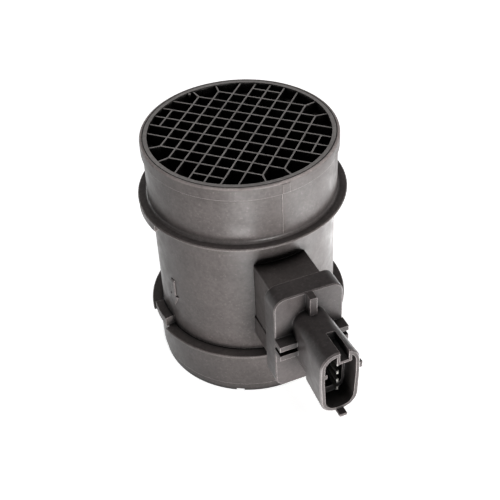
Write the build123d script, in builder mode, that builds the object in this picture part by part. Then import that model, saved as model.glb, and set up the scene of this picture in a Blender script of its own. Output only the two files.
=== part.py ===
from build123d import *
import math
import os

os.makedirs("parts", exist_ok=True)

# Mass airflow sensor: a moulded plastic duct with a flow-straightening grid in its
# inlet and a plug-in hot-film sensor in its side.
# Frame: the origin is the duct axis at the outlet rim, +Z runs up the duct to the inlet,
# and the sensor and its connector point along -Y. All sizes are in millimetres.

# ---------------------------------------------------------------- duct sizes
tube_length = 96.0
duct_radius = 31.0
mid_wall = 2.45

inlet_wall = 3.35
inlet_spigot_length = 17.95
inlet_bead_rise = 0.65
inlet_bead_height = 4.9
inlet_bead_rounding = 0.7
inlet_bead_bevel = 0.25
spigot_foot_fillet = 1.1

upper_flange_rise = 4.45
upper_flange_thickness = 1.0
lower_flange_rise = 4.55
lower_flange_thickness = 1.1
flange_bevel = 0.3

outlet_spigot_rise = 1.75
outlet_spigot_length = 16.8
outlet_lead_step = 0.6
outlet_lead_height = 3.9
outlet_wall = 2.8
outlet_bore_depth = 17.0
outlet_taper_height = 4.0

flange_lug_start = 169.5
flange_lug_span = 24.0
flange_lug_height = 2.5
flange_lug_inset = 0.1
foot_lug_start = 173.5
foot_lug_span = 17.0
foot_lug_height = 3.7
foot_lug_inset = 0.8
foot_relief_depth = 1.6
foot_relief_margin = 1.2

drain_notch_angle = -119.0
drain_notch_width = 3.0
drain_notch_height = 0.7

# ---------------------------------------------------------------- inlet grid sizes
grid_spoke = 2.95
grid_turn = 46.6
grid_rib = 0.55
grid_rib_drop = 0.4
grid_depth = 6.5
grid_ring_wall = 1.5
grid_ring_depth = 4.6
grid_seat_gap = 0.1
grid_rim_wall = 1.1
grid_bore_gap = 0.2

# ---------------------------------------------------------------- neck and plate sizes
sensor_axis_height = 46.0
neck_width = 19.4
neck_height = 33.2
neck_reach = 48.5
neck_corner = 0.7
neck_wall = 2.0
neck_foot_step = 0.45
neck_foot_height = 8.8

plate_width = 25.2
plate_height = 40.3
plate_corner = 4.2
plate_thickness = 7.6
plate_bevel = 0.4

wing_thickness = 2.1
wing_gap = 2.0
wing_depth = 4.5
wing_rise = 0.4
wing_overhang = 0.1
centre_rib_width = 2.6
centre_rib_depth = 3.6

# ---------------------------------------------------------------- connector sizes
shroud_reach = 79.4
shroud_length = 12.6
shroud_width = 14.4
shroud_top_width = 14.0
shroud_bottom_width = 13.0
shroud_height = 27.0
shroud_rise = 0.2
shroud_widest = 2.0
shroud_top_corner = 5.8
shroud_bottom_corner = 6.0
shroud_side_radius = 30.0
shroud_wall = 1.6
shroud_draft = 0.5
mouth_bevel = 0.5
stem_narrowing = 1.1
stem_top_drop = 1.0
stem_bottom_rise = 3.4
stem_wall = 0.9
socket_depth = 7.3
recess_width = 8.6
recess_depth = 8.0
recess_corner = 2.4
keyway_offset = 1.3
keyway_width = 3.2
keyway_depth = 4.1
keyway_wall = 1.0
keyway_length = 10.0
tongue_width = 2.7
tongue_length = 2.9
tongue_thickness = 1.0
key_rib_width = 2.4
key_rib_proud = 0.9
key_rib_rise = 4.6
key_rib_length = 8.0
inner_rib_size = 0.9
inner_rib_rise = 4.7

# ---------------------------------------------------------------- probe sizes
insert_gap = 0.4
insert_length = 22.5
insert_wall = 2.0
insert_corner = 1.0
probe_width = 12.0
probe_height = 24.0
probe_wall = 2.0
probe_tip_wall = 4.5
probe_nose = 2.4
cover_thickness = 1.6
cover_seat = 1.1
cover_gap = 0.1

seal_start = 1.3
seal_width = 2.4
seal_depth = 1.6
seal_gap = 0.05

chamber_start = 5.4
chamber_end_wall = 1.5
chamber_height = 23.0
ledge_length = 2.8

partition = 3.0
leg_width = 8.0
inlet_width = 9.0
divider_width = 6.0
channel_floor = 2.5
channel_roof = 3.0
bend_radius = 7.0
divider_rounding = 2.6
outlet_port_height = 6.0

# ---------------------------------------------------------------- electronics sizes
terminal_count = 5
terminal_pitch = 3.8
terminal_width = 1.5
terminal_thickness = 0.8
terminal_recess = 4.2
terminal_point = 0.25

base_thickness = 1.5
base_margin = 0.3
board_thickness = 0.8
board_margin = 0.9
board_clear = 0.4
holder_width = 6.0
holder_thickness = 1.2
holder_root = 4.5
holder_tip_gap = 1.0
chip_length = 4.0
chip_width = 3.4
chip_thickness = 0.4
film_length = 2.6
film_width = 1.8
film_thickness = 0.15
signal_chip_side = 5.0
signal_chip_thickness = 1.0
capacitor_length = 1.8
capacitor_width = 1.1
capacitor_height = 0.9
resistor_length = 1.5
resistor_width = 0.8
resistor_height = 0.5
bond_width = 0.4
bond_thickness = 0.15
bond_rise = 0.5
bead_radius = 0.9
bead_length = 2.4
lead_radius = 0.2
lead_spacing = 0.9
lead_length = 9.0
lead_root = 1.5

# ---------------------------------------------------------------- radii and levels worked out
mid_radius = duct_radius + mid_wall
inlet_spigot_radius = duct_radius + inlet_wall
inlet_bead_radius = inlet_spigot_radius + inlet_bead_rise
upper_flange_radius = mid_radius + upper_flange_rise
lower_flange_radius = mid_radius + lower_flange_rise
outlet_spigot_radius = mid_radius + outlet_spigot_rise
outlet_lead_radius = outlet_spigot_radius - outlet_lead_step
outlet_bore_radius = outlet_spigot_radius - outlet_wall
# The grid's outermost cross points lie five cells out, one spoke inside the duct wall.
grid_pitch = (duct_radius - grid_spoke) / 5

inlet_bead_z = tube_length - inlet_bead_height
upper_flange_top = inlet_bead_z - inlet_spigot_length
upper_flange_bottom = upper_flange_top - upper_flange_thickness
outlet_top = outlet_lead_height + outlet_spigot_length
lower_flange_top = outlet_top + lower_flange_thickness
grid_seat_radius = inlet_bead_radius - grid_rim_wall
grid_seat_z = tube_length - grid_ring_depth
grid_ring_radius = grid_seat_radius - grid_seat_gap

neck_face = -neck_reach
plate_face = neck_face - plate_thickness
mouth_face = -shroud_reach
stem_face = mouth_face + shroud_length
insert_width = neck_width - 2 * (neck_wall + insert_gap)
insert_height = neck_height - 2 * (neck_wall + insert_gap)
insert_face = neck_face + insert_length

chamber_near = neck_face + chamber_start
chamber_far = insert_face - chamber_end_wall
chamber_floor = -insert_width / 2 + insert_wall
chamber_cover = insert_width / 2 - cover_thickness
leg_near = chamber_far + partition
leg_far = leg_near + leg_width
divider_far = leg_far + divider_width
inlet_far = divider_far + inlet_width
tip_face = inlet_far + probe_tip_wall
channel_bottom = sensor_axis_height - probe_height / 2 + channel_floor
channel_top = sensor_axis_height + probe_height / 2 - channel_roof
channel_back = -probe_width / 2 + probe_wall
channel_cover = probe_width / 2 - cover_thickness
divider_mid = (leg_far + divider_far) / 2

base_top = chamber_floor + base_thickness
board_top = base_top + board_thickness

# Connector levels are counted from the sensor's axis. The terminals stand below the keyway,
# centred between its underside and the recess's floor.
shroud_low = shroud_rise - shroud_height / 2
shroud_high = shroud_rise + shroud_height / 2
stem_low = shroud_low + stem_bottom_rise
keyway_floor = shroud_high - keyway_depth
recess_low = stem_low + stem_wall
recess_high = keyway_floor - keyway_wall
terminal_left = keyway_offset - terminal_thickness / 2
terminal_right = keyway_offset + terminal_thickness / 2
terminal_row_height = sensor_axis_height + (recess_low + recess_high) / 2
ledge_end = chamber_near + ledge_length
lead_level = sensor_axis_height + (probe_height + insert_height) / 4
terminal_levels = [
    terminal_row_height + (i - (terminal_count - 1) / 2) * terminal_pitch
    for i in range(terminal_count)
]


def across(y):
    """Plane at a distance along the sensor, looking along -Y: local x is +X, local y is +Z."""
    return Plane(origin=(0, y, sensor_axis_height), x_dir=(1, 0, 0), z_dir=(0, -1, 0))


def beside(x):
    """Plane beside the sensor, looking along +X: local x is +Y, local y is +Z."""
    return Plane(origin=(x, 0, 0), x_dir=(0, 1, 0), z_dir=(1, 0, 0))


def ring_sector(inner, outer, start, span):
    """Face between two radii and two angles, for the sketch that calls it."""
    reach = 2 * outer
    rays = [math.radians(start), math.radians(start + span)]
    Circle(outer)
    Circle(inner, mode=Mode.SUBTRACT)
    Polygon(
        (0, 0),
        *[(reach * math.cos(ray), reach * math.sin(ray)) for ray in rays],
        align=None,
        mode=Mode.INTERSECT,
    )


def connector_outline(inset, low, high):
    """Upright oval outline, widest above its middle, for the sketch that calls it."""
    half_widths = [
        width / 2 - inset for width in (shroud_bottom_width, shroud_width, shroud_top_width)
    ]
    levels = (low, shroud_widest, high)
    right = list(zip(half_widths, levels))
    left = [(-half_width, level) for half_width, level in reversed(right)]
    Polygon(*right, *left, align=None)
    fillet(vertices().sort_by(Axis.Y)[4:], shroud_top_corner - inset)
    fillet(vertices().sort_by(Axis.Y)[:2], shroud_bottom_corner - inset)
    fillet(vertices().sort_by_distance((half_widths[1], shroud_widest))[0], shroud_side_radius)
    fillet(vertices().sort_by_distance((-half_widths[1], shroud_widest))[0], shroud_side_radius)


def box_between(x_span, y_span, z_span, mode=Mode.ADD):
    """Block from its lower to its upper limit on each axis, for the part that calls it."""
    spans = (x_span, y_span, z_span)
    centre = [(low + high) / 2 for low, high in spans]
    with Locations(tuple(centre)):
        Box(*[high - low for low, high in spans], mode=mode)


# ---------------------------------------------------------------- duct housing
# One moulding: the duct, its two flanges, the hose beads and the neck for the sensor.
neck_inner_width = neck_width - 2 * neck_wall
neck_inner_height = neck_height - 2 * neck_wall
neck_inner_corner = insert_corner + insert_gap
lug_root_radius = (duct_radius + mid_radius) / 2
relief_radius = lower_flange_radius - foot_relief_depth

with BuildPart() as tube_housing:
    with BuildSketch(Plane.XZ) as outer_profile:
        with BuildLine():
            Polyline(
                (0, 0),
                (outlet_lead_radius, 0),
                (outlet_lead_radius, outlet_lead_height),
                (outlet_spigot_radius, outlet_lead_height),
                (outlet_spigot_radius, outlet_top),
                (lower_flange_radius, outlet_top),
                (lower_flange_radius, lower_flange_top),
                (mid_radius, lower_flange_top),
                (mid_radius, upper_flange_bottom),
                (upper_flange_radius, upper_flange_bottom),
                (upper_flange_radius, upper_flange_top),
                (inlet_spigot_radius, upper_flange_top),
                (inlet_spigot_radius, inlet_bead_z),
                (inlet_bead_radius, inlet_bead_z),
                (inlet_bead_radius, tube_length),
                (0, tube_length),
                close=True,
            )
        make_face()
        for corner, rounding in (
            ((inlet_bead_radius, tube_length), inlet_bead_rounding),
            ((inlet_spigot_radius, upper_flange_top), spigot_foot_fillet),
        ):
            fillet(vertices().sort_by_distance(corner)[0], rounding)
        for corner, bevel in (
            ((inlet_bead_radius, inlet_bead_z), inlet_bead_bevel),
            ((upper_flange_radius, upper_flange_top), flange_bevel),
            ((upper_flange_radius, upper_flange_bottom), flange_bevel),
            ((lower_flange_radius, lower_flange_top), flange_bevel),
            ((lower_flange_radius, outlet_top), flange_bevel),
        ):
            chamfer(vertices().sort_by_distance(corner)[0], bevel)
    revolve(axis=Axis.Z)

    # Neck that carries the plug-in sensor; its root is cut back with the bore.
    with BuildSketch(across(neck_face)):
        Rectangle(neck_width, neck_height)
        fillet(vertices(), neck_corner)
    extrude(amount=-neck_reach)
    with BuildSketch(across(neck_face)):
        with Locations((0, (neck_foot_height - neck_height) / 2)):
            Rectangle(neck_width + 2 * neck_foot_step, neck_foot_height)
            fillet(vertices(), neck_corner / 2)
    extrude(amount=-neck_reach)

    # Stop lug under the upper flange.
    with BuildSketch(Plane.XY.offset(upper_flange_bottom - flange_lug_height)):
        ring_sector(
            lug_root_radius,
            upper_flange_radius - flange_lug_inset,
            flange_lug_start,
            flange_lug_span,
        )
    extrude(amount=flange_lug_height + upper_flange_thickness / 2)

    # Stop lug on the lower flange, where the flange's rim is cut back.
    with BuildSketch(Plane.XY.offset(outlet_top)):
        ring_sector(
            relief_radius,
            lower_flange_radius + flange_bevel,
            foot_lug_start - foot_relief_margin,
            foot_lug_span + 2 * foot_relief_margin,
        )
    extrude(amount=lower_flange_thickness, mode=Mode.SUBTRACT)
    with BuildSketch(Plane.XY.offset(lower_flange_top)):
        ring_sector(
            lug_root_radius,
            lower_flange_radius - foot_lug_inset,
            foot_lug_start,
            foot_lug_span,
        )
    extrude(amount=foot_lug_height)

    # Bore: grid seat at the inlet, duct, and the wider outlet end that keeps the wall even.
    with BuildSketch(Plane.XZ):
        with BuildLine():
            Polyline(
                (0, 0),
                (outlet_bore_radius, 0),
                (outlet_bore_radius, outlet_bore_depth),
                (duct_radius, outlet_bore_depth + outlet_taper_height),
                (duct_radius, grid_seat_z),
                (grid_seat_radius, grid_seat_z),
                (grid_seat_radius, tube_length),
                (0, tube_length),
                close=True,
            )
        make_face()
    revolve(axis=Axis.Z, mode=Mode.SUBTRACT)

    # Window through the neck and the duct wall.
    with BuildSketch(across(neck_face)):
        Rectangle(neck_inner_width, neck_inner_height)
        fillet(vertices(), neck_inner_corner)
    extrude(amount=-neck_reach, mode=Mode.SUBTRACT)

    # Drain notch in the outlet rim.
    with BuildSketch(Plane.XY):
        with PolarLocations(outlet_lead_radius, 1, start_angle=drain_notch_angle):
            Rectangle(3 * outlet_wall, drain_notch_width)
    extrude(amount=drain_notch_height, mode=Mode.SUBTRACT)


# ---------------------------------------------------------------- inlet grid
# Square straightening grid in a ring that sits in the inlet's counterbore. Towards the rim
# the square cells end on short spokes.
grid_ring_inner = grid_ring_radius - grid_ring_wall
grid_rib_top = tube_length - grid_rib_drop
grid_rib_bottom = grid_rib_top - grid_depth


def grid_ribs(limit):
    """Ribs of the grid inside a radius, for the sketch that calls it."""
    half_spans = [limit] * 3 + [4 * grid_pitch, 3 * grid_pitch, grid_pitch]
    for step, half_span in enumerate(half_spans):
        length = 2 * half_span + grid_rib
        for side in (-1, 1):
            with Locations((0, side * step * grid_pitch)):
                Rectangle(length, grid_rib)
            with Locations((side * step * grid_pitch, 0)):
                Rectangle(grid_rib, length)
    corner_radius = 5 * grid_pitch
    spoke = limit - corner_radius
    for quarter in range(4):
        for turn in (math.atan2(3, 4), math.atan2(4, 3)):
            angle = turn + quarter * math.pi / 2
            middle = corner_radius + spoke / 2
            with Locations(
                Location(
                    (middle * math.cos(angle), middle * math.sin(angle)), math.degrees(angle)
                )
            ):
                Rectangle(spoke + grid_rib, grid_rib)
    Circle(limit, mode=Mode.INTERSECT)


with BuildPart() as inlet_grid:
    with BuildSketch(Plane.XY.offset(grid_seat_z)):
        Circle(grid_ring_radius)
        Circle(grid_ring_inner, mode=Mode.SUBTRACT)
    extrude(amount=grid_ring_depth)
    with BuildSketch(Plane.XY.offset(grid_seat_z).rotated((0, 0, grid_turn))):
        grid_ribs(grid_ring_inner + grid_ring_wall / 2)
    extrude(amount=grid_rib_top - grid_seat_z)
    with BuildSketch(Plane.XY.offset(grid_rib_bottom).rotated((0, 0, grid_turn))):
        grid_ribs(duct_radius - grid_bore_gap)
    extrude(amount=grid_seat_z - grid_rib_bottom)


# ---------------------------------------------------------------- sensor body
# One moulding: flange plate, connector, the insert that fills the neck and the probe that
# stands in the air stream. Local heights below are counted from the sensor's axis.
socket_width = shroud_width - 2 * shroud_wall
socket_low = shroud_low + shroud_wall
socket_high = shroud_high - shroud_wall
socket_back = mouth_face + socket_depth
recess_floor = socket_back + recess_depth
seal_core_width = insert_width - 2 * seal_depth
seal_core_height = insert_height - 2 * seal_depth
seal_face = neck_face + seal_start
probe_bottom = sensor_axis_height - probe_height / 2
probe_top = sensor_axis_height + probe_height / 2
half_chamber = chamber_height / 2
leg_mid = (leg_near + leg_far) / 2


def probe_section():
    """The probe seen from above, with its rounded tip, for the sketch that calls it."""
    with Locations((0, (insert_face + tip_face) / 2)):
        Rectangle(probe_width, tip_face - insert_face)
    fillet(vertices().sort_by(Axis.Y)[-2:], probe_nose)


def bypass_cover_outline(gap):
    """Seat of the bypass cover, seen from the side, less a gap all round."""
    edge = cover_seat - gap
    low, high = channel_bottom - edge, channel_top + edge
    near, far = leg_near - edge, inlet_far + edge
    with Locations(((near + far) / 2, (low + high) / 2)):
        Rectangle(far - near, high - low)
    inlet_near = divider_far - edge
    with Locations(((inlet_near + far) / 2, (low + probe_top) / 2)):
        Rectangle(far - inlet_near, probe_top - low)


with BuildPart() as sensor_body:
    # Flange plate against the neck.
    with BuildSketch(across(neck_face)):
        Rectangle(plate_width, plate_height)
        fillet(vertices(), plate_corner)
    extrude(amount=plate_thickness)
    chamfer(faces().sort_by(Axis.Y)[0].edges(), plate_bevel)

    # Two cross ribs and one upright rib on the plate's face.
    with BuildSketch(across(plate_face)):
        for side in (-1, 1):
            with Locations((0, wing_rise + side * (wing_gap + wing_thickness) / 2)):
                Rectangle(plate_width + 2 * wing_overhang, wing_thickness)
    extrude(amount=wing_depth)
    with BuildSketch(across(plate_face)):
        with Locations((0, plate_height / 4)):
            Rectangle(centre_rib_width, plate_height / 2)
    extrude(amount=centre_rib_depth)

    # Connector: a stem that widens from the plate to the drafted shroud round the socket. The
    # shroud hangs lower than the stem.
    with BuildSketch(across(plate_face)):
        connector_outline(stem_narrowing, stem_low, shroud_high - stem_top_drop)
    with BuildSketch(across(stem_face)):
        connector_outline(shroud_draft, stem_low, shroud_high - shroud_draft)
    loft(ruled=True)
    with BuildSketch(across(stem_face)):
        connector_outline(shroud_draft, shroud_low + shroud_draft, shroud_high - shroud_draft)
    with BuildSketch(across(mouth_face)):
        connector_outline(0, shroud_low, shroud_high)
    loft(ruled=True)
    chamfer(faces().sort_by(Axis.Y)[0].edges(), mouth_bevel)

    # Socket with a shoulder round the terminals' recess.
    with BuildSketch(across(mouth_face)):
        connector_outline(shroud_wall, socket_low, socket_high)
    extrude(amount=-socket_depth, mode=Mode.SUBTRACT)
    with BuildSketch(across(socket_back)):
        with Locations((0, (recess_low + recess_high) / 2)):
            Rectangle(recess_width, recess_high - recess_low)
        fillet(vertices(), recess_corner)
    extrude(amount=-recess_depth, mode=Mode.SUBTRACT)

    # Keyway folded into the shroud's top, and a guide rib inside its left wall.
    keyway_half = keyway_width / 2
    box_between(
        (keyway_offset - keyway_half - keyway_wall, keyway_offset + keyway_half + keyway_wall),
        (mouth_face, socket_back),
        (sensor_axis_height + recess_high, sensor_axis_height + socket_high + shroud_wall / 2),
    )
    box_between(
        (keyway_offset - keyway_half, keyway_offset + keyway_half),
        (mouth_face, mouth_face + keyway_length),
        (sensor_axis_height + keyway_floor, sensor_axis_height + shroud_high),
        mode=Mode.SUBTRACT,
    )
    box_between(
        (-socket_width / 2 - shroud_wall / 2, -socket_width / 2 + inner_rib_size),
        (mouth_face, socket_back),
        (
            sensor_axis_height + inner_rib_rise - inner_rib_size,
            sensor_axis_height + inner_rib_rise + inner_rib_size,
        ),
    )

    # Key rib on the shroud's right side and the tongue below its mouth.
    box_between(
        (shroud_width / 2 - shroud_wall / 2, shroud_width / 2 + key_rib_proud),
        (mouth_face + mouth_bevel, mouth_face + key_rib_length),
        (
            sensor_axis_height + key_rib_rise - key_rib_width / 2,
            sensor_axis_height + key_rib_rise + key_rib_width / 2,
        ),
    )
    box_between(
        (-tongue_width / 2, tongue_width / 2),
        (mouth_face - tongue_length, mouth_face + shroud_wall),
        (sensor_axis_height + shroud_low, sensor_axis_height + shroud_low + tongue_thickness),
    )

    # Insert in the neck, with its seal groove.
    with BuildSketch(across(neck_face)):
        Rectangle(insert_width, insert_height)
        fillet(vertices(), insert_corner)
    extrude(amount=neck_face - insert_face)
    with BuildSketch(across(seal_face)):
        Rectangle(neck_inner_width, neck_inner_height)
        Rectangle(seal_core_width, seal_core_height, mode=Mode.SUBTRACT)
    extrude(amount=-seal_width, mode=Mode.SUBTRACT)

    # Probe in the air stream.
    with BuildSketch(Plane.XY.offset(probe_bottom)):
        probe_section()
    extrude(amount=probe_height)

    # Electronics chamber, its cover seat, and the ledge that backs the terminals' feet.
    box_between(
        (chamber_floor, chamber_cover),
        (chamber_near, chamber_far),
        (sensor_axis_height - half_chamber, sensor_axis_height + half_chamber),
        mode=Mode.SUBTRACT,
    )
    box_between(
        (chamber_cover, insert_width / 2),
        (chamber_near - cover_seat, chamber_far + cover_seat),
        (
            sensor_axis_height - half_chamber - cover_seat,
            sensor_axis_height + half_chamber + cover_seat,
        ),
        mode=Mode.SUBTRACT,
    )
    box_between(
        (chamber_floor, terminal_left),
        (chamber_near, ledge_end),
        (sensor_axis_height - half_chamber, sensor_axis_height + half_chamber),
    )

    # Bypass channel: in at the top, round the bend, past the film and out at the side.
    with BuildSketch(beside(channel_back)):
        with Locations(((leg_near + inlet_far) / 2, (channel_bottom + channel_top) / 2)):
            Rectangle(inlet_far - leg_near, channel_top - channel_bottom)
        fillet(vertices().sort_by(Axis.Y)[:2], bend_radius)
        with Locations((divider_mid, (channel_bottom + leg_width + probe_top) / 2)):
            Rectangle(
                divider_width, probe_top - channel_bottom - leg_width, mode=Mode.SUBTRACT
            )
        fillet(
            vertices().sort_by_distance((leg_far, channel_bottom + leg_width))[0],
            divider_rounding,
        )
        fillet(
            vertices().sort_by_distance((divider_far, channel_bottom + leg_width))[0],
            divider_rounding,
        )
        with Locations(((divider_far + inlet_far) / 2, (channel_top + probe_top) / 2)):
            Rectangle(inlet_width, probe_top - channel_top)
    extrude(amount=channel_cover - channel_back, mode=Mode.SUBTRACT)
    with BuildSketch(beside(channel_cover)):
        bypass_cover_outline(0)
    extrude(amount=cover_thickness, mode=Mode.SUBTRACT)
    box_between(
        (-probe_width / 2, channel_back),
        (leg_near, leg_far),
        (channel_top - outlet_port_height, channel_top),
        mode=Mode.SUBTRACT,
    )

    # Slot for the film's holder, holes for the terminals and for the thermistor's leads.
    box_between(
        (board_top, board_top + holder_thickness),
        (chamber_far, leg_near),
        (sensor_axis_height - holder_width / 2, sensor_axis_height + holder_width / 2),
        mode=Mode.SUBTRACT,
    )
    for level in terminal_levels:
        box_between(
            (terminal_left, terminal_right),
            (recess_floor, chamber_near),
            (level - terminal_width / 2, level + terminal_width / 2),
            mode=Mode.SUBTRACT,
        )
    with BuildSketch(Plane(origin=(0, insert_face, lead_level), x_dir=(1, 0, 0), z_dir=(0, -1, 0))):
        with GridLocations(lead_spacing, 0, 2, 1):
            Circle(lead_radius)
    extrude(amount=lead_root, mode=Mode.SUBTRACT)


# ---------------------------------------------------------------- covers and seal
with BuildPart() as bypass_cover:
    with BuildSketch(beside(channel_cover)):
        bypass_cover_outline(cover_gap)
    extrude(amount=cover_thickness)
    with BuildSketch(Plane.XY.offset(probe_bottom)):
        probe_section()
    extrude(amount=probe_height, mode=Mode.INTERSECT)

with BuildPart() as electronics_cover:
    cover_edge = cover_seat - cover_gap
    box_between(
        (chamber_cover, insert_width / 2),
        (chamber_near - cover_edge, chamber_far + cover_edge),
        (
            sensor_axis_height - half_chamber - cover_edge,
            sensor_axis_height + half_chamber + cover_edge,
        ),
    )

with BuildPart() as body_seal:
    with BuildSketch(across(seal_face)):
        Rectangle(neck_inner_width - 2 * seal_gap, neck_inner_height - 2 * seal_gap)
        fillet(vertices(), neck_inner_corner)
        Rectangle(seal_core_width, seal_core_height, mode=Mode.SUBTRACT)
    extrude(amount=-seal_width)


# ---------------------------------------------------------------- electronics
base_near = ledge_end + base_margin
base_far = chamber_far - base_margin
board_near = base_near + board_margin
board_far = base_far - board_margin
board_mid = (board_near + board_far) / 2
holder_top = board_top + holder_thickness

with BuildPart() as base_plate:
    box_between(
        (chamber_floor, base_top),
        (base_near, base_far),
        (
            sensor_axis_height - half_chamber + base_margin,
            sensor_axis_height + half_chamber - base_margin,
        ),
    )

with BuildPart() as circuit_board:
    board_edge = half_chamber - base_margin - board_margin
    box_between(
        (base_top, board_top),
        (board_near, board_far),
        (sensor_axis_height - board_edge, sensor_axis_height + board_edge),
    )

with BuildPart() as signal_chip:
    with BuildSketch(beside(board_top)):
        with Locations((board_near + board_clear + signal_chip_side / 2 + 1, sensor_axis_height)):
            Rectangle(signal_chip_side, signal_chip_side)
    extrude(amount=signal_chip_thickness)

with BuildPart() as board_capacitors:
    with BuildSketch(beside(board_top)):
        with Locations((board_mid, sensor_axis_height + chamber_height / 3)):
            with GridLocations(2.2 * capacitor_length, 2.2 * capacitor_width, 2, 2):
                Rectangle(capacitor_length, capacitor_width)
    extrude(amount=capacitor_height)

with BuildPart() as board_resistors:
    with BuildSketch(beside(board_top)):
        with Locations((board_mid, sensor_axis_height - chamber_height / 3)):
            with GridLocations(2 * resistor_length, 2.5 * resistor_width, 2, 3):
                Rectangle(resistor_length, resistor_width)
    extrude(amount=resistor_height)

# Blade that holds the film out in the bypass channel.
chip_seat = holder_top - chip_thickness
with BuildPart() as chip_holder:
    box_between(
        (board_top, holder_top),
        (chamber_far - holder_root, leg_far - holder_tip_gap),
        (sensor_axis_height - holder_width / 2, sensor_axis_height + holder_width / 2),
    )
    box_between(
        (chip_seat, holder_top),
        (leg_mid - chip_length / 2, leg_mid + chip_length / 2),
        (sensor_axis_height - chip_width / 2, sensor_axis_height + chip_width / 2),
        mode=Mode.SUBTRACT,
    )
    box_between(
        (board_top, chip_seat),
        (leg_mid - film_length / 2, leg_mid + film_length / 2),
        (sensor_axis_height - film_width / 2, sensor_axis_height + film_width / 2),
        mode=Mode.SUBTRACT,
    )

# Heated film: a chip thinned to a membrane in its middle.
with BuildPart() as sensor_chip:
    box_between(
        (chip_seat, holder_top),
        (leg_mid - chip_length / 2, leg_mid + chip_length / 2),
        (sensor_axis_height - chip_width / 2, sensor_axis_height + chip_width / 2),
    )
    box_between(
        (chip_seat, holder_top - film_thickness),
        (leg_mid - film_length / 2, leg_mid + film_length / 2),
        (sensor_axis_height - film_width / 2, sensor_axis_height + film_width / 2),
        mode=Mode.SUBTRACT,
    )

# Bonded ribbons from the terminals' feet down to the board.
bond_near = (chamber_near + ledge_end) / 2
bond_far = board_near + board_clear
with BuildPart() as bond_wires:
    for level in terminal_levels:
        crest = terminal_right + bond_rise
        with BuildLine() as bond_path:
            foot = Line((terminal_right, bond_near, level), (crest, bond_near, level))
            ThreePointArc(
                foot @ 1,
                (crest + (bond_far - bond_near) / 2, (bond_near + bond_far) / 2, level),
                (crest, bond_far, level),
            )
            Line((crest, bond_far, level), (board_top, bond_far, level))
        with BuildSketch(
            Plane(origin=(terminal_right, bond_near, level), x_dir=(0, 1, 0), z_dir=(1, 0, 0))
        ):
            Rectangle(bond_thickness, bond_width)
        sweep()


# ---------------------------------------------------------------- thermistor
lead_plane = Plane(
    origin=(0, insert_face + lead_length, lead_level), x_dir=(1, 0, 0), z_dir=(0, -1, 0)
)
with BuildPart() as thermistor_leads:
    with BuildSketch(lead_plane):
        with GridLocations(lead_spacing, 0, 2, 1):
            Circle(lead_radius)
    extrude(amount=lead_length + lead_root)

with BuildPart() as thermistor:
    with BuildSketch(lead_plane):
        Circle(bead_radius)
    extrude(amount=-bead_length)
    fillet(edges().sort_by(Axis.Y)[-1], bead_radius / 2)


# ---------------------------------------------------------------- names and files
tube_housing.part.label = "tube_housing"
inlet_grid.part.label = "inlet_grid"
sensor_body.part.label = "sensor_body"
body_seal.part.label = "body_seal"
bypass_cover.part.label = "bypass_cover"
electronics_cover.part.label = "electronics_cover"
base_plate.part.label = "base_plate"
circuit_board.part.label = "circuit_board"
signal_chip.part.label = "signal_chip"
board_capacitors.part.label = "board_capacitors"
board_resistors.part.label = "board_resistors"
bond_wires.part.label = "bond_wires"
chip_holder.part.label = "chip_holder"
sensor_chip.part.label = "sensor_chip"
thermistor.part.label = "thermistor"
thermistor_leads.part.label = "thermistor_leads"

for piece in (
    tube_housing,
    inlet_grid,
    sensor_body,
    body_seal,
    bypass_cover,
    electronics_cover,
    base_plate,
    circuit_board,
    signal_chip,
    board_capacitors,
    board_resistors,
    bond_wires,
    chip_holder,
    sensor_chip,
    thermistor,
    thermistor_leads,
):
    export_step(piece.part, f"parts/{piece.part.label}.step")

# Terminals: one blade for each contact, pointed for the mating socket.
for number, level in enumerate(reversed(terminal_levels), start=1):
    with BuildPart() as terminal:
        box_between(
            (terminal_left, terminal_right),
            (mouth_face + terminal_recess, ledge_end),
            (level - terminal_width / 2, level + terminal_width / 2),
        )
        chamfer(faces().sort_by(Axis.Y)[0].edges(), terminal_point)
    terminal.part.label = f"terminal_{number}"
    export_step(terminal.part, f"parts/{terminal.part.label}.step")
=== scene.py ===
import bpy
import math
from mathutils import Matrix, Vector


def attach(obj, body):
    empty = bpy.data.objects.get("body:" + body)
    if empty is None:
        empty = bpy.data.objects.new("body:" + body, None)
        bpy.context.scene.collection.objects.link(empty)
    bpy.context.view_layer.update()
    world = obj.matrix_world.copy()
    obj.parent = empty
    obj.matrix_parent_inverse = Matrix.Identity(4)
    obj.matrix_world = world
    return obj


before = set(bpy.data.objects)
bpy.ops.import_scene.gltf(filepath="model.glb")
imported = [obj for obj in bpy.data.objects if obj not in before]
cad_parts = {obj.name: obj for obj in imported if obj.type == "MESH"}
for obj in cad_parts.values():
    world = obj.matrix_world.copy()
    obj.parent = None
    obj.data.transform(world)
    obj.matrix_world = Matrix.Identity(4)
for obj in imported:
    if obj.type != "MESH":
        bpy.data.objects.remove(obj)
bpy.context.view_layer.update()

# Mass airflow sensor, dressed and set on a bright table for its photograph.
# Frame: the origin is the duct's axis at the outlet rim, +Z runs to the inlet, and the sensor
# points along -Y. Blender's units are metres; sizes of the object are written in millimetres.
MM = 0.001

# ---------------------------------------------------------------- camera
CAMERA_PLACE = Vector((-97.92, -261.24, 275.98)) * MM
CAMERA_TURN = math.radians(-20.861)
CAMERA_TILT = math.radians(49.910)
CAMERA_ROLL = math.radians(-3.024)
FOCAL_PIXELS = 948.0
PHOTO_PIXELS = 500.0
SENSOR_WIDTH = 36.0
CLIP_START = 0.01
CLIP_END = 20.0


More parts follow.
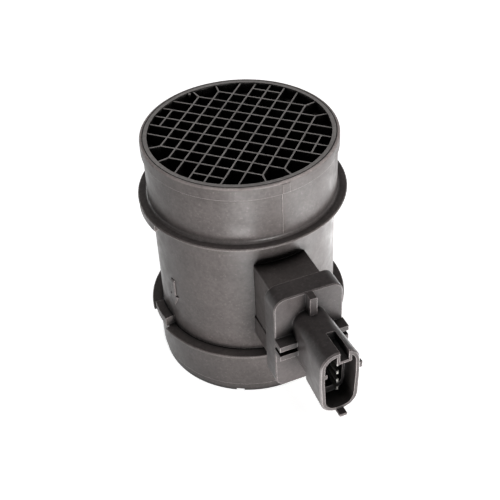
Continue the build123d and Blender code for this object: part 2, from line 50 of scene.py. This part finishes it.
def add_camera():
    """Camera that took the photograph, worked out from its round rims and its square grid."""
    data = bpy.data.cameras.new("camera")
    data.sensor_width = SENSOR_WIDTH
    data.sensor_height = SENSOR_WIDTH
    data.sensor_fit = "HORIZONTAL"
    data.lens = FOCAL_PIXELS / PHOTO_PIXELS * SENSOR_WIDTH
    data.clip_start = CLIP_START
    data.clip_end = CLIP_END
    data.dof.use_dof = False
    camera = bpy.data.objects.new("camera", data)
    bpy.context.scene.collection.objects.link(camera)
    camera.matrix_world = (
        Matrix.Translation(CAMERA_PLACE)
        @ Matrix.Rotation(CAMERA_TURN, 4, "Z")
        @ Matrix.Rotation(CAMERA_TILT, 4, "X")
        @ Matrix.Rotation(CAMERA_ROLL, 4, "Z")
    )
    bpy.context.scene.camera = camera


# ---------------------------------------------------------------- lamps
LIGHT_CENTRE = Vector((0, -10, 45)) * MM
LIGHT_DISTANCE = 0.9
SOFTBOX_RISE = 0.05
PANEL_CENTRE = Vector((0, -20, 1)) * MM


def add_lamp(name, place, aim, size, power):
    """Soft rectangular lamp, turned towards a point."""
    data = bpy.data.lights.new(name, "AREA")
    data.shape = "RECTANGLE"
    data.size, data.size_y = size
    data.energy = power
    lamp = bpy.data.objects.new(name, data)
    bpy.context.scene.collection.objects.link(lamp)
    turn = (aim - place).to_track_quat("-Z", "Y")
    lamp.matrix_world = Matrix.Translation(place) @ turn.to_matrix().to_4x4()
    return lamp


def add_softbox(name, azimuth, size, power):
    """Lamp on a wide circle round the object, a little higher than its middle."""
    turn = math.radians(azimuth)
    towards = Vector((math.cos(turn), math.sin(turn), SOFTBOX_RISE))
    add_lamp(name, LIGHT_CENTRE + LIGHT_DISTANCE * towards, LIGHT_CENTRE, size, power)


def add_top_box(size, power):
    place = LIGHT_CENTRE + Vector((0, 0, LIGHT_DISTANCE))
    add_lamp("top_box", place, LIGHT_CENTRE, (size, size), power)


def add_floor_panel(name, azimuth, distance, size, power):
    """Small lit panel on the floor near the object, which lights it from below."""
    turn = math.radians(azimuth)
    place = PANEL_CENTRE + distance * Vector((math.cos(turn), math.sin(turn), 0))
    panel = add_lamp(name, place, place + Vector((0, 0, 1)), (size, size), power)
    panel.visible_camera = False


def add_lights():
    add_softbox("front_box", azimuth=-87, size=(0.2, 0.16), power=7.2)
    add_softbox("back_box", azimuth=115, size=(0.4, 0.16), power=1.3)
    add_top_box(size=0.6, power=3.4)
    add_floor_panel("left_panel", azimuth=-113, distance=0.115, size=0.07, power=0.17)
    add_floor_panel("front_panel", azimuth=-100, distance=0.19, size=0.12, power=0.13)
    add_floor_panel("far_panel", azimuth=-80, distance=0.32, size=0.2, power=0.52)
    add_floor_panel("right_panel", azimuth=-40, distance=0.11, size=0.08, power=0.15)
    add_floor_panel("side_panel", azimuth=10, distance=0.11, size=0.08, power=0.05)


# ---------------------------------------------------------------- node helpers
def new_material(name):
    material = bpy.data.materials.new(name)
    material.use_nodes = True
    tree = material.node_tree
    return material, tree, tree.nodes["Principled BSDF"]


def calculate(tree, operation, *values):
    """Output of a Math node. Each value is a number or another node's output."""
    node = tree.nodes.new("ShaderNodeMath")
    node.operation = operation
    for socket, value in zip(node.inputs, values):
        if isinstance(value, bpy.types.NodeSocket):
            tree.links.new(value, socket)
        else:
            socket.default_value = value
    return node.outputs[0]


def product(tree, *factors):
    result = factors[0]
    for factor in factors[1:]:
        result = calculate(tree, "MULTIPLY", result, factor)
    return result


def spread(tree, value, low, high, start=0.3, end=0.7):
    """A value between start and end, spread over the range from low to high."""
    node = tree.nodes.new("ShaderNodeMapRange")
    node.inputs["From Min"].default_value = start
    node.inputs["From Max"].default_value = end
    node.inputs["To Min"].default_value = low
    node.inputs["To Max"].default_value = high
    tree.links.new(value, node.inputs["Value"])
    return node.outputs[0]


def tinted(tree, colour, factor):
    """A colour made lighter or darker by a factor."""
    node = tree.nodes.new("ShaderNodeVectorMath")
    node.operation = "SCALE"
    node.inputs[0].default_value = colour
    tree.links.new(factor, node.inputs["Scale"])
    return node.outputs[0]


def object_place(tree):
    """Place of a point in the object's own space."""
    return tree.nodes.new("ShaderNodeTexCoord").outputs["Object"]


def object_noise(tree, size, detail=2.0):
    """Noise in the object's own space, with cells of a size in metres."""
    noise = tree.nodes.new("ShaderNodeTexNoise")
    noise.inputs["Scale"].default_value = 1 / size
    noise.inputs["Detail"].default_value = detail
    tree.links.new(object_place(tree), noise.inputs["Vector"])
    return noise.outputs["Fac"]


def bumped(tree, height, strength, distance, normal=None):
    """Normal that is tilted by a fine relief."""
    bump = tree.nodes.new("ShaderNodeBump")
    bump.inputs["Strength"].default_value = strength
    bump.inputs["Distance"].default_value = distance
    tree.links.new(height, bump.inputs["Height"])
    if normal is not None:
        tree.links.new(normal, bump.inputs["Normal"])
    return bump.outputs[0]


def seen_directly(tree):
    """1 for what the camera, a reflection or clear glass sees, and 0 for light that bounces."""
    path = tree.nodes.new("ShaderNodeLightPath")
    mirrored = path.outputs["Is Glossy Ray"]
    through = path.outputs["Is Transmission Ray"]
    indirect = calculate(tree, "MAXIMUM", mirrored, through)
    return calculate(tree, "MAXIMUM", path.outputs["Is Camera Ray"], indirect)


# ---------------------------------------------------------------- floor, ceiling and world
STAGE_HALF = 3.0
CEILING_HEIGHT = 1.6
CEILING_MOTTLE_SIZE = 0.2
CEILING_SHADES = (0.02, 0.03)

# The floor's grey for bounced light, its glow when looked at, and the white that takes the shadow.
FLOOR_BOUNCE = 0.2
FLOOR_GLOW = 0.85
FLOOR_SHADE = 1.0

# The world's strength as light on the object, and as the background that is seen.
WORLD_FILL = 0.02
WORLD_SEEN = 0.88


def add_mesh(name, points, faces, material):
    mesh = bpy.data.meshes.new(name)
    mesh.from_pydata(points, [], faces)
    mesh.materials.append(material)
    piece = bpy.data.objects.new(name, mesh)
    bpy.context.scene.collection.objects.link(piece)
    return piece


def add_square(name, height, material, looks_down=False):
    half = STAGE_HALF
    corners = [(-half, -half), (half, -half), (half, half), (-half, half)]
    if looks_down:
        corners.reverse()
    return add_mesh(name, [(x, y, height) for x, y in corners], [(0, 1, 2, 3)], material)


def diffuse(tree, level):
    node = tree.nodes.new("ShaderNodeBsdfDiffuse")
    node.inputs["Color"].default_value = (level, level, level, 1)
    return node.outputs[0]


def floor_white():
    """White to look at, with the object's shadow on it, and grey for the light that it bounces."""
    material = bpy.data.materials.new("floor_white")
    material.use_nodes = True
    tree = material.node_tree
    tree.nodes.clear()
    glow = tree.nodes.new("ShaderNodeEmission")
    glow.inputs["Strength"].default_value = FLOOR_GLOW
    bright = tree.nodes.new("ShaderNodeAddShader")
    tree.links.new(diffuse(tree, FLOOR_SHADE), bright.inputs[0])
    tree.links.new(glow.outputs[0], bright.inputs[1])
    either = tree.nodes.new("ShaderNodeMixShader")
    tree.links.new(seen_directly(tree), either.inputs[0])
    tree.links.new(diffuse(tree, FLOOR_BOUNCE), either.inputs[1])
    tree.links.new(bright.outputs[0], either.inputs[2])
    out = tree.nodes.new("ShaderNodeOutputMaterial")
    tree.links.new(either.outputs[0], out.inputs["Surface"])
    return material


def ceiling_card():
    """Matt card, nearly black."""
    material, tree, shader = new_material("ceiling_card")
    mottle = spread(tree, object_noise(tree, CEILING_MOTTLE_SIZE), *CEILING_SHADES)
    tree.links.new(tinted(tree, (1, 1, 1), mottle), shader.inputs["Base Color"])
    shader.inputs["Roughness"].default_value = 1.0
    shader.inputs["Specular IOR Level"].default_value = 0.0
    return material


def add_floor():
    floor = add_square("floor", 0, floor_white())


def add_ceiling():
    """Dark card hung over the set, so that faces that look up stay dark."""
    ceiling = add_square("ceiling", CEILING_HEIGHT, ceiling_card(), looks_down=True)


def add_world():
    world = bpy.data.worlds.new("studio")
    bpy.context.scene.world = world
    world.use_nodes = True
    tree = world.node_tree
    background = tree.nodes["Background"]
    background.inputs["Color"].default_value = (1, 1, 1, 1)
    strength = spread(tree, seen_directly(tree), WORLD_FILL, WORLD_SEEN, start=0, end=1)
    tree.links.new(strength, background.inputs["Strength"])


# ---------------------------------------------------------------- moulded plastic
FINE_DETAIL = 3
BLOTCH_SIZE = 9 * MM
BLOTCH_SHADES = (0.88, 1.12)
FLECK_SIZE = 1.3 * MM
FLECK_SHADES = (0.86, 1.14)
SPECK_SIZE = 0.7 * MM
SPECK_SHADES = (1, 1.5)
SPECK_CUT = (0.6, 0.75)
SHEEN_SIZE = 4 * MM
SHEEN_GLOSSIER = 0.06
SHEEN_DULLER = 0.08
GRAIN_SIZE = 0.45 * MM
GRAIN_DEPTH = 0.05 * MM
GRAIN_STRENGTH = 0.25

# Cosine of the turn between the real and the rounded normal, at an edge and away from it.
EDGE_TURNED = 0.88
EDGE_FLAT = 0.995
NODE_SAMPLES = 6

# How far off a wall shuts a point in, for the painted shade of a recess and of a narrow corner.
RECESS_REACH = 14 * MM
LEDGE_REACH = 3 * MM
LEDGE_SHUT = (0.5, 0.85)

# Painted shadow line along the narrow gap of the seam between duct and grid.
SEAM_RADIUS = 33.85 * MM
SEAM_HALF = 0.26 * MM
SEAM_CORE = 0.6 * SEAM_HALF
SEAM_DARK = 0.03
# Heights over which the painted highlight on the inlet rim fades in.
RIM_START = 95.3 * MM
RIM_FULL = 95.8 * MM


def rounded_edges(tree, radius):
    """Normal that is rounded over at sharp edges, and how near an edge is, from 0 to 1."""
    bevel = tree.nodes.new("ShaderNodeBevel")
    bevel.samples = NODE_SAMPLES
    bevel.inputs["Radius"].default_value = radius
    surface = tree.nodes.new("ShaderNodeNewGeometry")
    along = tree.nodes.new("ShaderNodeVectorMath")
    along.operation = "DOT_PRODUCT"
    tree.links.new(bevel.outputs[0], along.inputs[0])
    tree.links.new(surface.outputs["Normal"], along.inputs[1])
    near = spread(tree, along.outputs["Value"], 1, 0, EDGE_TURNED, EDGE_FLAT)
    return bevel.outputs[0], near


def painted_occlusion_shade(tree, reach, darkest, shut):
    """Painted shade from ambient occlusion: 1 in the open, darkest in a deep recess."""
    node = tree.nodes.new("ShaderNodeAmbientOcclusion")
    node.samples = NODE_SAMPLES
    node.inputs["Distance"].default_value = reach
    return spread(tree, node.outputs["AO"], darkest, 1, *shut)


def seam_shadow(tree):
    """Painted shadow in the narrow gap between duct and grid: 1 away from it, near 0 in it."""
    flat = tree.nodes.new("ShaderNodeVectorMath")
    flat.operation = "MULTIPLY"
    flat.inputs[1].default_value = (1, 1, 0)
    tree.links.new(object_place(tree), flat.inputs[0])
    out = tree.nodes.new("ShaderNodeVectorMath")
    out.operation = "LENGTH"
    tree.links.new(flat.outputs[0], out.inputs[0])
    past_seam = calculate(tree, "SUBTRACT", out.outputs["Value"], SEAM_RADIUS)
    distance = calculate(tree, "ABSOLUTE", past_seam)
    return spread(tree, distance, SEAM_DARK, 1, SEAM_CORE, SEAM_HALF)


def rim_highlight(tree, light):
    """Painted highlight on the inlet rim: 1 below the rim, and paler on it."""
    split = tree.nodes.new("ShaderNodeSeparateXYZ")
    tree.links.new(object_place(tree), split.inputs[0])
    return spread(tree, split.outputs["Z"], 1, light, RIM_START, RIM_FULL)


def moulded_plastic(
    name,
    colour,
    roughness,
    specular,
    edge_radius,
    edge_light,
    recess,
    ledge,
    shut,
    seam=False,
    rim_light=None,
):
    """Glass-filled plastic: blotchy, finely grained, paler on edges by wear and painted highlight.

    edge_light is how many times lighter an edge is, as wear and painted highlight. recess and
    ledge are the colour's share left as painted shade in a deep recess and in a narrow corner.
    shut gives the occlusion at which a recess's painted shade is darkest and where it begins.
    """
    material, tree, shader = new_material(name)
    normal, near_edge = rounded_edges(tree, edge_radius)
    shade = product(
        tree,
        spread(tree, object_noise(tree, BLOTCH_SIZE, FINE_DETAIL), *BLOTCH_SHADES),
        spread(tree, object_noise(tree, FLECK_SIZE, FINE_DETAIL), *FLECK_SHADES),
        spread(tree, object_noise(tree, SPECK_SIZE), *SPECK_SHADES, *SPECK_CUT),
        # paler near edges, as wear and painted highlight
        spread(tree, near_edge, 1, edge_light, start=0, end=1),
        # painted shade in deep recesses and in narrow corners
        painted_occlusion_shade(tree, RECESS_REACH, recess, shut),
        painted_occlusion_shade(tree, LEDGE_REACH, ledge, LEDGE_SHUT),
    )
    # painted highlight on the inlet rim
    if rim_light is not None:
        shade = product(tree, shade, rim_highlight(tree, rim_light))
    # painted shadow line in the seam's gap
    if seam:
        shade = product(tree, shade, seam_shadow(tree))
    tree.links.new(tinted(tree, colour, shade), shader.inputs["Base Color"])
    glossy, dull = roughness - SHEEN_GLOSSIER, roughness + SHEEN_DULLER
    sheen = spread(tree, object_noise(tree, SHEEN_SIZE), glossy, dull)
    tree.links.new(sheen, shader.inputs["Roughness"])
    shader.inputs["Specular IOR Level"].default_value = specular
    grain = object_noise(tree, GRAIN_SIZE, FINE_DETAIL)
    relief = bumped(tree, grain, GRAIN_STRENGTH, GRAIN_DEPTH, normal)
    tree.links.new(relief, shader.inputs["Normal"])
    return material


def duct_plastic():
    return moulded_plastic(
        "duct_plastic",
        colour=(0.095, 0.083, 0.08),
        roughness=0.38,
        specular=0.27,
        edge_radius=0.45 * MM,
        edge_light=3.6,
        recess=0.1,
        ledge=0.1,
        shut=(0.12, 0.55),
        seam=True,
        rim_light=3.2,
    )


def arrow_plastic():
    """The duct's plastic where it stands proud: paler as painted highlight, with little painted
    shade beside it.
    """
    return moulded_plastic(
        "arrow_plastic",
        colour=(0.115, 0.101, 0.098),
        roughness=0.38,
        specular=0.27,
        edge_radius=0.3 * MM,
        edge_light=3.6,
        recess=0.6,
        ledge=0.95,
        shut=(0.12, 0.55),
    )


def grid_plastic():
    # Paler than the duct's plastic as painted highlight on the rib tops, with dark painted shade
    # in the cells.
    return moulded_plastic(
        "grid_plastic",
        colour=(0.32, 0.3, 0.29),
        roughness=0.41,
        specular=0.15,
        edge_radius=0.24 * MM,
        edge_light=1.5,
        recess=0.02,
        ledge=0.02,
        shut=(0.5, 0.92),
        seam=True,
    )


def sensor_plastic():
    return moulded_plastic(
        "sensor_plastic",
        colour=(0.062, 0.054, 0.053),
        roughness=0.37,
        specular=0.28,
        edge_radius=0.4 * MM,
        edge_light=5.0,
        recess=0.02,
        ledge=0.45,
        shut=(0.32, 0.7),
    )


# ---------------------------------------------------------------- finishes of the inner pieces
MOTTLE_SIZE = 2 * MM
MOTTLE_SHADES = (0.9, 1.1)
MATT_SIZE = 1 * MM
MATT_SPREAD = 0.15
FINE_GRAIN_SIZE = 0.3 * MM
FINE_GRAIN_DEPTH = 0.02 * MM
FINE_GRAIN_STRENGTH = 0.2


def plain_finish(name, colour, roughness, metallic=0.0):
    """Small inner piece: an even colour with a slight mottle and grain."""
    material, tree, shader = new_material(name)
    mottle = spread(tree, object_noise(tree, MOTTLE_SIZE), *MOTTLE_SHADES)
    tree.links.new(tinted(tree, colour, mottle), shader.inputs["Base Color"])
    glossy, dull = roughness * (1 - MATT_SPREAD), roughness * (1 + MATT_SPREAD)
    matt = spread(tree, object_noise(tree, MATT_SIZE), glossy, dull)
    tree.links.new(matt, shader.inputs["Roughness"])
    shader.inputs["Metallic"].default_value = metallic
    grain = object_noise(tree, FINE_GRAIN_SIZE)
    relief = bumped(tree, grain, FINE_GRAIN_STRENGTH, FINE_GRAIN_DEPTH)
    tree.links.new(relief, shader.inputs["Normal"])
    return material


def make_materials():
    return {
        "duct_plastic": duct_plastic(),
        "grid_plastic": grid_plastic(),
        "sensor_plastic": sensor_plastic(),
        "arrow_plastic": arrow_plastic(),
        "seal_rubber": plain_finish("seal_rubber", (0.03, 0.03, 0.03), 0.75),
        "plate_metal": plain_finish("plate_metal", (0.75, 0.76, 0.78), 0.35, metallic=1),
        "board_ceramic": plain_finish("board_ceramic", (0.8, 0.8, 0.76), 0.55),
        "chip_black": plain_finish("chip_black", (0.03, 0.03, 0.03), 0.5),
        "capacitor_body": plain_finish("capacitor_body", (0.5, 0.38, 0.25), 0.5),
        "chip_film": plain_finish("chip_film", (0.35, 0.38, 0.45), 0.12, metallic=1),
        "thermistor_glass": plain_finish("thermistor_glass", (0.05, 0.08, 0.2), 0.15),
        "terminal_tin": plain_finish("terminal_tin", (0.22, 0.215, 0.2), 0.45, metallic=1),
    }


SLOTS = {
    "tube_housing": "duct_plastic",
    "inlet_grid": "grid_plastic",
    "sensor_body": "sensor_plastic",
    "bypass_cover": "sensor_plastic",
    "electronics_cover": "sensor_plastic",
    "body_seal": "seal_rubber",
    "base_plate": "plate_metal",
    "circuit_board": "board_ceramic",
    "chip_holder": "board_ceramic",
    "signal_chip": "chip_black",
    "board_capacitors": "capacitor_body",
    "board_resistors": "chip_black",
    "sensor_chip": "chip_film",
    "thermistor": "thermistor_glass",
}
WIRE_SLOT = "terminal_tin"


def dress(materials):
    """Gives each CAD node its material. The terminals, bond wires and leads are tinned."""
    for name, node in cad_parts.items():
        node.data.materials.clear()
        node.data.materials.append(materials[SLOTS.get(name, WIRE_SLOT)])


# ---------------------------------------------------------------- moulded marks, in millimetres
TUBE_RADIUS = 33.45
TUBE_SPAN = (21.9, 72.1)
SPIGOT_RADIUS = 34.35
SPIGOT_SPAN = (74.4, 91.0)
BEAD_RADIUS = 35.0
BEAD_SPAN = (91.4, 95.2)

# How deep a mark is rooted below the tube's face.
MARK_ROOT = 0.2

ARROW_AZIMUTH = -165.2
ARROW_TIP = 33.0
ARROW_SHOULDER = 37.8
ARROW_TAIL = 45.6
ARROW_HALF_SHAFT = 1.1
ARROW_HALF_HEAD = 2.4
ARROW_RISE = 0.5
ARROW_BEVEL = 0.15

# Azimuths are in degrees. FLAT_TURN is how far a bead flat lies beside its parting line.
PARTING_AZIMUTH = -88.7
PARTING_HALF = 0.14
PARTING_RISE = 0.1
FLAT_TURN = 2.2
FLAT_HALF = 1.35
FLAT_RISE = 0.18
LINE_BEVEL = 0.1

PIP_RADIUS = 31.85
PIP_AZIMUTH = 103.2
PIP_TOP = 95.6
PIP_SIDES = 16

# Radius and height above PIP_TOP of each ring of the pip's outline.
PIP_RINGS = ((0.6, -1.2), (0.6, 0.0), (0.45, 0.2), (0.2, 0.3))


def on_tube(radius, azimuth, across, height):
    """Point at a radius, an arc length across from an azimuth, and a height."""
    turn = math.radians(azimuth) + across / radius
    return Vector((radius * math.cos(turn), radius * math.sin(turn), height)) * MM


def joined_rings(count, low, high):
    """Faces between two rings of points, given by the number of each ring's first point."""
    faces = []
    for i in range(count):
        j = (i + 1) % count
        faces.append((low + i, low + j, high + j, high + i))
    return faces


def raised_mark(name, outline, radius, azimuth, rise, bevel, material):
    """Raised shape on the tube, whose outline gives arc length and height.

    Its walls stand straight for half the rise and lean in above that, and bevel is the share
    by which its top is smaller.
    """
    count = len(outline)
    middle = [sum(point[i] for point in outline) / count for i in (0, 1)]
    top = [[middle[i] + (point[i] - middle[i]) * (1 - bevel) for i in (0, 1)] for point in outline]
    points = [on_tube(radius - MARK_ROOT, azimuth, *point) for point in outline]
    points += [on_tube(radius + rise / 2, azimuth, *point) for point in outline]
    points += [on_tube(radius + rise, azimuth, *point) for point in top]
    faces = [tuple(range(2 * count, 3 * count)), tuple(reversed(range(count)))]
    faces += joined_rings(count, 0, count)
    faces += joined_rings(count, count, 2 * count)
    mark = add_mesh(name, points, faces, material)
    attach(mark, "root")


def add_flow_arrow(material):
    """Arrow that points from the inlet to the outlet."""
    outline = [
        (0, ARROW_TIP),
        (ARROW_HALF_HEAD, ARROW_SHOULDER),
        (ARROW_HALF_SHAFT, ARROW_SHOULDER),
        (ARROW_HALF_SHAFT, ARROW_TAIL),
        (-ARROW_HALF_SHAFT, ARROW_TAIL),
        (-ARROW_HALF_SHAFT, ARROW_SHOULDER),
        (-ARROW_HALF_HEAD, ARROW_SHOULDER),
    ]
    raised_mark(
        "flow_arrow", outline, TUBE_RADIUS, ARROW_AZIMUTH, ARROW_RISE, ARROW_BEVEL, material
    )


def strip(half_width, span):
    low, high = span
    return [(-half_width, low), (half_width, low), (half_width, high), (-half_width, high)]


def add_parting_lines(material):
    """Fine lines left by the mould's two halves, and the flat beside them on the inlet bead."""
    for side, azimuth in (("front", PARTING_AZIMUTH), ("back", PARTING_AZIMUTH + 180)):
        lines = [("spigot", SPIGOT_RADIUS, SPIGOT_SPAN), ("bead", BEAD_RADIUS, BEAD_SPAN)]
        if side == "back":
            lines.append(("tube", TUBE_RADIUS, TUBE_SPAN))
        for place, radius, span in lines:
            raised_mark(
                f"parting_line_{place}_{side}",
                strip(PARTING_HALF, span),
                radius,
                azimuth,
                PARTING_RISE,
                LINE_BEVEL,
                material,
            )
        raised_mark(
            f"bead_flat_{side}",
            strip(FLAT_HALF, BEAD_SPAN),
            BEAD_RADIUS,
            azimuth + FLAT_TURN,
            FLAT_RISE,
            LINE_BEVEL,
            material,
        )


def add_grid_pip(material):
    """Small round gate mark on the inside of the grid's ring, with a domed top."""
    middle = on_tube(PIP_RADIUS, PIP_AZIMUTH, 0, PIP_TOP)
    points = []
    for radius, rise in PIP_RINGS:
        for i in range(PIP_SIDES):
            turn = 2 * math.pi * i / PIP_SIDES
            across = Vector((radius * math.cos(turn), radius * math.sin(turn), rise)) * MM
            points.append(middle + across)
    last = len(PIP_RINGS) - 1
    faces = [tuple(reversed(range(PIP_SIDES))), tuple(range(last * PIP_SIDES, len(points)))]
    for ring in range(last):
        faces += joined_rings(PIP_SIDES, ring * PIP_SIDES, (ring + 1) * PIP_SIDES)
    pip = add_mesh("grid_pip", points, faces, material)
    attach(pip, "root")


add_camera()
add_floor()
add_ceiling()
add_world()
add_lights()
materials = make_materials()
dress(materials)
add_flow_arrow(materials["arrow_plastic"])
add_parting_lines(materials["duct_plastic"])
add_grid_pip(materials["grid_plastic"])
bpy.context.scene.view_settings.view_transform = "Standard"
